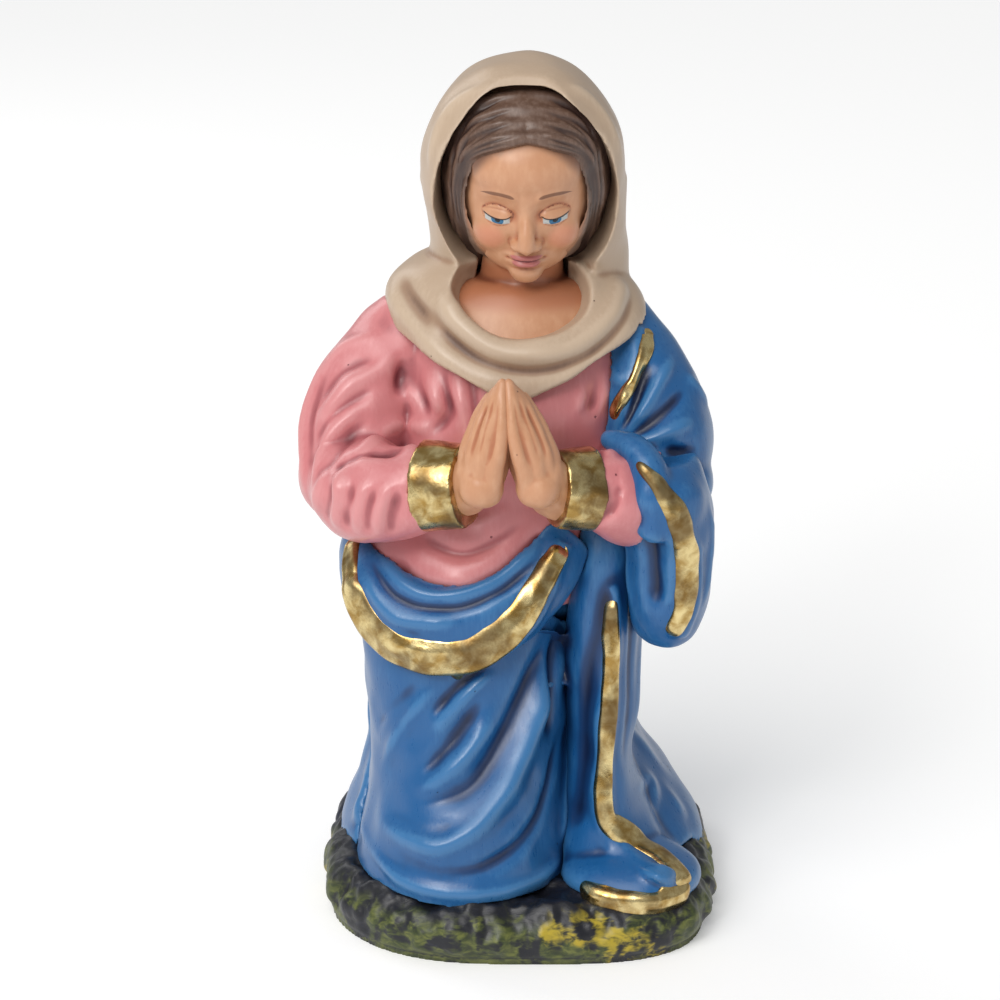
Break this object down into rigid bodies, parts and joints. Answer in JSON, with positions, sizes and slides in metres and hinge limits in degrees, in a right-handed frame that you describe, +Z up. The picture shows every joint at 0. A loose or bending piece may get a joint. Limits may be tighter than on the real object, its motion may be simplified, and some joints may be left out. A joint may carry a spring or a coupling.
{
  "type": "madonna statue",
  "caption": "Kneeling praying Madonna figure of painted plaster with veil, tunic and gilt-edged mantle on a rocky ground base.",
  "frame": {"origin": "centre of the flat underside of the ground block, on the plane that the figure stands on", "axes": "+Z up; the figure faces -Y, and +X is the figure's own left side"},
  "size_m": [0.0676, 0.0688, 0.14],
  "materials": {
    "ground": "black paint dabbed with olive green and yellow, satin",
    "tunic_pink": "pink paint on plaster, satin",
    "skin": "flesh paint on plaster, satin",
    "hair_brown": "brown paint on plaster, satin",
    "veil_cream": "cream paint on plaster with brown shading, satin",
    "mantle_blue": "blue paint on plaster with darker folds, satin",
    "gilding": "bright gold paint over plaster"
  },
  "bodies": {
    "root": {"ground_base": "ground", "tunic_torso": "tunic_pink", "tunic_sleeve_right": "tunic_pink", "tunic_sleeve_left": "tunic_pink", "cuff_right": "gilding", "cuff_left": "gilding", "hand_right": "skin", "hand_left": "skin", "head": "skin", "hair": "hair_brown", "veil_hood": "veil_cream", "veil_collar": "veil_cream", "mantle_skirt": "mantle_blue", "mantle_swag": "mantle_blue", "mantle_side": "mantle_blue", "mantle_shoulder": "mantle_blue", "mantle_flap": "mantle_blue", "mantle_back": "mantle_blue", "border_shoulder": "gilding", "border_swag": "gilding", "border_flap": "gilding", "border_front": "gilding", "border_hem": "gilding"}
  },
  "joints": []
}
